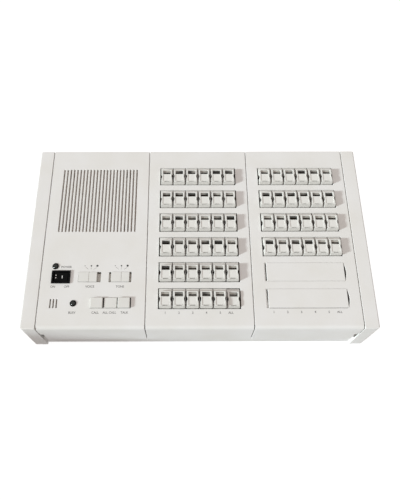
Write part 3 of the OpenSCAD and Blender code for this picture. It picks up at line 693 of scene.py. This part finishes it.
for part in ("voice_switch_body", "tone_switch_body"):
    moulding(part, slide_plate, radius=0.2)
for part in ("voice_slide_knob", "tone_slide_knob"):
    low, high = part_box(part)
    x, s = slope_place(part)
    w = width(part)
    l = ((high.y - low.y) / MM - KNOB_T * sin(SLOPE)) / cos(SLOPE)
    shape = bmesh.new()
    for side, share in ((-1, KNOB_PART), (1, 1 - KNOB_PART)):
        part_w = w * share - KNOB_GROOVE_W / 2
        at = on_top(x + side * (w - part_w) / 2, s, KNOB_RISE)
        add_block(shape, at, part_w, l, KNOB_T, KNOB_EDGE)
    bridge_t = KNOB_T - KNOB_GROOVE_DEPTH - BRIDGE_LIFT
    at = on_top(low.x / MM + w * KNOB_PART, s, KNOB_RISE - KNOB_GROOVE_DEPTH)
    add_block(shape, at, KNOB_GROOVE_W + BRIDGE_LAP, l - BRIDGE_INSET, bridge_t)
    knob = make_piece(shape, part + "_shell", part, key_abs)
    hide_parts(part)


# --- Function buttons ----------------------------------------------------------------------
# Three push buttons side by side in one opening, on a bank of push switches. The middle one is
# latched down, and the outer two leave a wider gap on their right.
BUTTON_CROWN = 0.5
RIGHT_GAPS = {"call_button": 0.5, "all_call_button": 0, "talk_button": 0.8}

# Moulded switch plastic, dark grey and half matt.
switch_plastic = moulded_plastic("dark_switch_plastic", "#35363A", "#414246", roughness=0.5)
dress("function_switch_bank", switch_plastic)
for part, gap in RIGHT_GAPS.items():
    button = moulding(part, key_abs, radius=0.3)
    right_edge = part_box(part)[1].x
    for corner in button.data.vertices:
        if corner.co.x > right_edge - BUTTON_CROWN * MM:
            corner.co.x -= gap * MM


# --- Key switches and call lamps -----------------------------------------------------------
# Under each row of keys a row of push switches, and behind it one small lamp for each key,
# on a board that hangs from posts under the panel.

# Cast red epoxy of the unlit lamps: dark and glossy.
call_lamp_epoxy = moulded_plastic("red_lamp_epoxy", "#5A1F1C", "#6B2824", roughness=0.3)
for side in ("middle", "right"):
    dress(side + "_key_switches", switch_plastic)
    dress(side + "_call_lamps", call_lamp_epoxy)


# --- Station keys --------------------------------------------------------------------------
# Sixty keys. Each is a white carrier in a clear acrylic cap; its sloping sides and front slope
# are painted grey as shade. It has a window over its call lamp, with a smoked lens, and a sunk
# field with a blank paper slip.
KEYS_PER_ROW = 6
KEY_ROWS = {"middle": 6, "right": 4}
KEY_NAMES = ("1", "2", "3", "4", "5", "all")
KEY_PITCH = 15
ROW_FRONT = 33.3
ROW_BACK = 35.5
# The cap's outline
KEY_W = 13.9
KEY_L = 22
KEY_TOP_W = 12.7
KEY_RISE = 3.6
SHOULDER = 0.3
SKIRT = 4
CORNER_R = 1.5
CORNER_STEPS = 4
FRONT_SLOPE_L = 2.1
FLANGE_L = 3
FLANGE_STEP = 0.5
FLANGE_FALL = 0.3
SCALLOP_L = 7
SCALLOP_DEPTH = 1.4
SCALLOP_S = -1.1
SCALLOP_STEPS = 7
KEY_RADIUS = 0.18
LATCH_DEPTH = 2
# What is sunk in its top
FIELD_W = 9
WINDOW_FROM, WINDOW_TO = 1.6, 6.5
SLIP_FROM, SLIP_TO = -7.7, 0.9
SLIP_DEPTH = 0.5
SLIP_T = 0.15
SLIP_EDGE = 0.04
SLIP_MARGIN = 0.3
NAIL_W = 5.5
NAIL_FROM, NAIL_TO = -8.7, -8.1
NAIL_DEPTH = 1.3
CAP_WALL = 1.2
LENS_DEPTH = 1.1
LENS_SHARE = 0.45
LENS_STEP = 3.2
LENS_T, LENS_EDGE = 1.5, 0.2
LENS_FOOT_T, LENS_FOOT_EDGE = 0.6, 0.1
LENS_MARGIN = 0.2
SMOKE_PATCH = 17
# What hangs below it
STEM_W, STEM_S, STEM_TOP, STEM_FOOT = 3.6, -2.5, 2.6, -14
TAB_W, TAB_L, TAB_T, TAB_S, TAB_TOP = 4, 3.1, 1.5, 11.35, -2.5

# The caps' sloping sides, glossy like clear acrylic and painted pale grey as shade, so that the
# low lamp does not light them white.
ACRYLIC = {"IOR": 1.49}
cap_side_shade = mottled(
    "cap_side_painted_shade",
    "#C3C1BD",
    "#D0CEC9",
    size=5,
    roughness=0.22,
    detail=2.0,
    sockets=ACRYLIC,
)
# Plain paper in the cap's front field, off-white with the fine cloud of its pulp.
paper = mottled("paper_slip", "#EAE9E6", "#DEDDD8", size=0.35, roughness=0.7, detail=5.0)
# Acrylic lenses, dyed unevenly: brown-black at one key and pale grey at the next.
smoked_lens, tree, surface, place = new_material("smoked_window_lens")
smoke = add(tree, "TexNoise", {"Vector": place, "Scale": 1 / (SMOKE_PATCH * MM), "Detail": 0.0})
thickness = add(
    tree, "MapRange", {"Value": smoke.outputs["Fac"], "From Min": 0.38, "From Max": 0.62}
)
smoke_tint = add(
    tree,
    "Mix",
    {0: thickness.outputs[0], 6: colour("#3A3733"), 7: colour("#AEAAA3")},
    data_type="RGBA",
)
tree.links.new(smoke_tint.outputs[2], surface.inputs["Base Color"])
surface.inputs["Roughness"].default_value = 0.25
surface.inputs["IOR"].default_value = 1.49

top_length = (cad_box[1][1] - cad_box[0][1]) / MM / cos(SLOPE)
row_pitch = (top_length - ROW_FRONT - ROW_BACK) / (KEY_ROWS["middle"] - 1)
MODULE_X = {"middle": 0, "right": slope_place("right_key_panel")[0]}


def key_x(module, column):
    """Where a column of keys stands across, with the columns of each panel counted from 0."""
    return MODULE_X[module] + (column - (KEYS_PER_ROW - 1) / 2) * KEY_PITCH


def row_s(row):
    """Where a row of keys stands up the slope, with row 1 at the back."""
    return top_length - ROW_BACK - (row - 1) * row_pitch


def cap_section(s):
    """Half the outline of a cap across at one place: skirt, knee and top edge, as (x, n)."""
    past = max(CORNER_R - (s + KEY_L / 2), 0)
    half_w = KEY_W / 2 - CORNER_R + sqrt(CORNER_R**2 - past**2)
    run = KEY_RISE - SHOULDER
    front_at = SHOULDER + run * (s + KEY_L / 2) / FRONT_SLOPE_L
    rear = KEY_L / 2 - FLANGE_L
    top = min(KEY_RISE, front_at)
    if s > rear - FLANGE_STEP:
        steep = KEY_RISE - (s - rear + FLANGE_STEP) * (run - SHOULDER) / FLANGE_STEP
        flange = SHOULDER + FLANGE_FALL * (KEY_L / 2 - s) / FLANGE_L
        top = max(steep, flange)
    lean = (KEY_W - KEY_TOP_W) / 2 / run
    radius = (SCALLOP_L**2 / 4 + SCALLOP_DEPTH**2) / (2 * SCALLOP_DEPTH)
    from_middle = min(abs(s - SCALLOP_S), SCALLOP_L / 2)
    bite = sqrt(radius**2 - from_middle**2) - (radius - SCALLOP_DEPTH)
    return (
        (half_w - bite, -SKIRT),
        (half_w - bite, min(SHOULDER + bite / lean, top)),
        (half_w - max(lean * (top - SHOULDER), bite), top),
    )


def add_cap(shape, at):
    """One cap as a thin shell: sloping flanks with a scallop in each, a lower flange behind, a
    window, a sunk field for the slip, a nail notch, and below it the stem and two stop tabs."""
    # Its section changes all the way along, so no one operator makes it: the shell is built
    # from sections. Of its nine strips across, five are the top, three the field and the
    # window, and one the notch.
    top_across, field_across, notch_across = range(2, 7), range(3, 6), 4
    front, rear = -KEY_L / 2, KEY_L / 2
    slope_end, top_end = front + FRONT_SLOPE_L, rear - FLANGE_L - FLANGE_STEP
    turns = [radians(90 / CORNER_STEPS * i) for i in range(CORNER_STEPS + 1)]
    places = [front + CORNER_R * (1 - cos(turn)) for turn in turns]
    bites = [i / SCALLOP_STEPS - 0.5 for i in range(SCALLOP_STEPS + 1)]
    places += [SCALLOP_S + SCALLOP_L * bite for bite in bites]
    places += [NAIL_FROM, slope_end, NAIL_TO, SLIP_FROM, SLIP_TO, WINDOW_FROM, WINDOW_TO]
    places = sorted(places + [top_end, rear - FLANGE_L, rear])
    rows = []
    for s in places:
        skirt, knee, edge = cap_section(s)
        row = [skirt, knee, edge, (FIELD_W / 2, edge[1]), (NAIL_W / 2, edge[1])]
        row += [(-x, n) for x, n in reversed(row)]
        rows.append([shape.verts.new(at @ Vector((x, s, n))) for x, n in row])
    field, window, notch = [], [], []
    for near, far, start, end in zip(rows, rows[1:], places, places[1:]):
        middle = (start + end) / 2
        for i in range(len(near) - 1):
            face = shape.faces.new((near[i], near[i + 1], far[i + 1], far[i]))
            # Strips off the top and on the front slope take the second, grey finish: painted
            # shade.
            face.material_index = int(i not in top_across or middle < slope_end)
            if i == notch_across and NAIL_FROM < middle < NAIL_TO:
                notch.append(face)
            if i in field_across and SLIP_FROM < middle < SLIP_TO:
                field.append(face)
            if i in field_across and WINDOW_FROM < middle < WINDOW_TO:
                window.append(face)
    for row in (rows[0], rows[-1]):
        shape.faces.new(row).material_index = 1
    for region, depth in ((field, SLIP_DEPTH), (window, CAP_WALL), (notch, NAIL_DEPTH)):
        sunk = bmesh.ops.extrude_face_region(shape, geom=region)["geom"]
        bmesh.ops.delete(shape, geom=region, context="FACES")
        corners = [part for part in sunk if isinstance(part, bmesh.types.BMVert)]
        into = at.to_3x3() @ Vector((0, 0, -depth))
        bmesh.ops.translate(shape, vec=into, verts=corners)
        if region is window:
            floor = [part for part in sunk if isinstance(part, bmesh.types.BMFace)]
            bmesh.ops.delete(shape, geom=floor, context="FACES_ONLY")
    blocks = [(STEM_S, STEM_W, STEM_W, STEM_TOP, STEM_FOOT)]
    blocks += [(end * TAB_S, TAB_W, TAB_L, TAB_TOP, TAB_TOP - TAB_T) for end in (-1, 1)]
    for s, w, l, top, foot in blocks:
        block_at = at @ Matrix.Translation((0, s, (top + foot) / 2))
        size = Matrix.Diagonal((w, l, top - foot, 1))
        bmesh.ops.create_cube(shape, size=1, matrix=block_at @ size)


def dress_keys(node, module, row, columns, down=0):
    """The caps of some keys of one row, with the slip and the lens that lie in each."""
    caps, slips, lenses = bmesh.new(), bmesh.new(), bmesh.new()
    top = KEY_RISE - down
    slip_s, slip_l = (SLIP_FROM + SLIP_TO) / 2, SLIP_TO - SLIP_FROM
    window_l = WINDOW_TO - WINDOW_FROM
    lens_w, lens_l = FIELD_W - LENS_MARGIN, window_l * LENS_SHARE
    foot_l = window_l - lens_l
    for column in columns:
        x, s = key_x(module, column), row_s(row)
        add_cap(caps, on_top(x, s, -down))
        at = on_top(x, s + slip_s, top - SLIP_DEPTH + SLIP_T)
        add_block(slips, at, FIELD_W - SLIP_MARGIN, slip_l - SLIP_MARGIN, SLIP_T, SLIP_EDGE)
        at = on_top(x, s + WINDOW_TO - lens_l / 2, top - LENS_DEPTH)
        add_block(lenses, at, lens_w, lens_l, LENS_T, LENS_EDGE)
        at = on_top(x, s + WINDOW_FROM + foot_l / 2, top - LENS_DEPTH - LENS_STEP)
        add_block(lenses, at, lens_w, foot_l, LENS_FOOT_T, LENS_FOOT_EDGE)
    bmesh.ops.remove_doubles(caps, verts=caps.verts, dist=WELD)
    bmesh.ops.recalc_face_normals(caps, faces=caps.faces)
    shell = make_piece(caps, node + "_caps", node, key_abs, smooth=True)
    # The second material paints the caps' sides grey, as shade.
    shell.data.materials.append(cap_side_shade)
    soften(shell, KEY_RADIUS)
    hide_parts(node)
    make_piece(slips, node + "_slips", node, paper)
    make_piece(lenses, node + "_lenses", node, smoked_lens)


for module, rows in KEY_ROWS.items():
    for row in range(1, rows):
        dress_keys(f"{module}_keys_row{row}", module, row, range(KEYS_PER_ROW))
    for column, name in enumerate(KEY_NAMES):
        down = LATCH_DEPTH if (module, name) == ("middle", "all") else 0
        dress_keys(f"{module}_key_{name}", module, rows, [column], down)


# --- Comb bars -----------------------------------------------------------------------------
# Thin bars of the panel's ABS between the keys of a row, moulded across each opening. Two short
# fins stand on each bar and keep the keys apart.
OPENING_L = 23.4
COMB_W = 0.6
COMB_T = 0.8
COMB_N = -1.5
FIN_T = 1.4
FIN_N = -0.2
# Each fin's place along its bar, and its length
FINS = ((4.6, 2.6), (-5.2, 1.4))
COMB_EDGE = 0.1

shape = bmesh.new()
for module, rows in KEY_ROWS.items():
    for row in range(1, rows + 1):
        for gap in range(1, KEYS_PER_ROW):
            x, s = key_x(module, gap - 0.5), row_s(row)
            add_block(shape, on_top(x, s, COMB_N), COMB_W, OPENING_L, COMB_T, COMB_EDGE)
            for offset, l in FINS:
                at = on_top(x, s + offset, FIN_N)
                add_block(shape, at, COMB_W, l, FIN_T, COMB_EDGE)
make_piece(shape, "key_combs", "housing", housing_abs)


# --- Blank covers --------------------------------------------------------------------------
# Two snap-in plates of the panel's ABS close the openings where a smaller station has no keys.
# A curved notch in the panel, at their right end, lets a fingernail lift them.
COVER_GAP = 0.4
LEFT_EDGE_BAND = 0.2
PRY_R = 26
PRY_REACH = 2.2
PRY_DEPTH = 4
PRY_STEPS = 8
PRY_LAP = 0.05
CUT_RISE = 1
GAP_SLOT_W = 1.2
GAP_SLOT_END = 0.7
FRONT_SLOT_OUT = 0.1
FRONT_SLOT_END = 1


def cut_out(piece, shape):
    """Cuts a bmesh out of a moulding's own mesh, so that the mould's radius follows the cut."""
    mesh = bpy.data.meshes.new("cutter")
    shape.to_mesh(mesh)
    shape.free()
    cutter = bpy.data.objects.new("cutter", mesh)
    bpy.context.scene.collection.objects.link(cutter)
    finish = list(piece.modifiers)
    cut = piece.modifiers.new("cut", "BOOLEAN")
    cut.object = cutter
    cut.solver = "EXACT"
    for modifier in finish:
        modifier.show_viewport = False
    bpy.context.view_layer.update()
    depsgraph = bpy.context.evaluated_depsgraph_get()
    piece.data = bpy.data.meshes.new_from_object(piece.evaluated_get(depsgraph))
    for modifier in finish:
        modifier.show_viewport = True
    piece.modifiers.remove(cut)
    bpy.data.objects.remove(cutter)


panel = bpy.data.objects["right_key_panel_moulding"]
to_chord = PRY_R - PRY_REACH
chord = sqrt(PRY_R**2 - to_chord**2)
reach = [i / PRY_STEPS * chord for i in range(-PRY_STEPS, PRY_STEPS + 1)]
arc = [(sqrt(PRY_R**2 - y**2) - to_chord - PRY_LAP, y) for y in reach]
for part in ("upper_blank_cover", "lower_blank_cover"):
    cover = moulding(part, housing_abs, radius=0.3)
    low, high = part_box(part)
    for corner in cover.data.vertices:
        if corner.co.x < low.x + LEFT_EDGE_BAND * MM:
            corner.co.x += COVER_GAP * MM
    at = on_top(high.x / MM, slope_place(part)[1])
    shape = bmesh.new()
    for n in (CUT_RISE, -PRY_DEPTH):
        shape.faces.new([shape.verts.new(at @ Vector((x, y, n))) for x, y in arc])
    bmesh.ops.bridge_loops(shape, edges=shape.edges[:])
    # A dark gap at the left end, and one along the front of the lower cover.
    cover_w = width(part)
    cover_l = (high - low).y / MM / cos(SLOPE)
    slots = [(-cover_w, 0, GAP_SLOT_W, 2 * (chord - GAP_SLOT_END))]
    if part == "lower_blank_cover":
        front_w = cover_w - GAP_SLOT_W - FRONT_SLOT_END
        slots.append((-cover_w / 2, -cover_l / 2 - FRONT_SLOT_OUT, front_w, GAP_SLOT_W / 2))
    for x, y, w, l in slots:
        slot_at = at @ Matrix.Translation((x, y, (CUT_RISE - PRY_DEPTH) / 2))
        size = Matrix.Diagonal((w, l, CUT_RISE + PRY_DEPTH, 1))
        bmesh.ops.create_cube(shape, size=1, matrix=slot_at @ size)
    bmesh.ops.recalc_face_normals(shape, faces=shape.faces)
    cut_out(panel, shape)


# --- Printed legends -----------------------------------------------------------------------
# Small grey capitals and figures, screen printed on the panels, and the marks above the two
# slides: a tick and two dots that grow with the level, with thin lines down to the knob.
INK_T = 0.03
LETTER_H = 2.4
LETTER_BOLD = 0.04
CAPITAL_SHARE = 0.7
# Each word, with the x and s of its middle
LEGENDS = [
    ("POWER", -149.4, 69.8),
    ("ON", -162.7, 46.9),
    ("OFF", -147.3, 46.9),
    ("VOICE", -121.5, 46.9),
    ("TONE", -88.1, 46.9),
    ("BUSY", -139, 17.7),
    ("CALL", -113.7, 17.7),
    ("ALL CALL", -98.1, 17.7),
    ("TALK", -81.9, 17.7),
]
FIGURES_S = {"middle": 17.3, "right": 17.9}
ALL_SHIFT = 3.5
for column, name in enumerate(KEY_NAMES):
    for module, s in FIGURES_S.items():
        shift = ALL_SHIFT if name == "all" else 0
        LEGENDS.append((name.upper(), key_x(module, column) - shift, s))
# The x of each slide's middle, and how far from it its tick and its two dots stand
SLIDES = {-122.5: (-6.1, 1.1, 7.9), -88.3: (-6.2, 0.8, 7.7)}
MARKS_S = 71.2
TICK_D = 0.95
SMALL_DOT_D = 1.7
BIG_DOT_D = 2.4
LINE_W, LINE_EDGE = 0.25, 0.008
FOOT_SPREAD, FOOT_SHIFT, FOOT_FALL = 0.42, 0.5, 4.2
HEAD_SPREAD, HEAD_SHIFT, HEAD_GAP = 0.9, 0.1, 0.9

# Screen-printing ink, matt, grey for letters and lines and black for the dots.
grey_ink = mottled("grey_screen_print", "#565656", "#6C6B6A", size=0.3, roughness=0.6)
dark_ink = mottled("black_screen_print", "#1B1B1B", "#2E2E2D", size=0.3, roughness=0.6)

letters = bmesh.new()
for caption, x, s in LEGENDS:
    writing = bpy.data.curves.new("writing", "FONT")
    writing.body = caption
    writing.size = LETTER_H / CAPITAL_SHARE
    writing.align_x = "CENTER"
    writing.align_y = "CENTER"
    writing.extrude = INK_T / 2
    writing.offset = LETTER_BOLD
    writing.resolution_u = 3
    placed = bpy.data.objects.new("writing", writing)
    bpy.context.scene.collection.objects.link(placed)
    bpy.context.view_layer.update()
    outline = bpy.data.meshes.new_from_object(
        placed.evaluated_get(bpy.context.evaluated_depsgraph_get())
    )
    outline.transform(on_top(x, s, INK_T / 2))
    letters.from_mesh(outline)
    bpy.data.objects.remove(placed)
    bpy.data.meshes.remove(outline)
bmesh.ops.remove_doubles(letters, verts=letters.verts, dist=WELD)
make_piece(letters, "panel_legends", "housing", grey_ink)

dots, lines = bmesh.new(), bmesh.new()
for x, marks in SLIDES.items():
    for offset, d in zip(marks, (TICK_D, SMALL_DOT_D, BIG_DOT_D)):
        add_disc(dots, on_top(x + offset, MARKS_S, INK_T), d, INK_T)
        foot = Vector((x + offset * FOOT_SPREAD + FOOT_SHIFT, MARKS_S - FOOT_FALL))
        head = Vector((x + offset * HEAD_SPREAD + HEAD_SHIFT, MARKS_S - d / 2 - HEAD_GAP))
        run = head - foot
        turn = Matrix.Rotation(-Vector((0, 1)).angle_signed(run), 4, "Z")
        at = on_top(*(head + foot) / 2, INK_T) @ turn
        add_block(lines, at, LINE_W, run.length, INK_T, LINE_EDGE)
make_piece(dots, "level_dots", "housing", dark_ink)
make_piece(lines, "level_lines", "housing", grey_ink)


bpy.context.scene.view_settings.view_transform = "Standard"
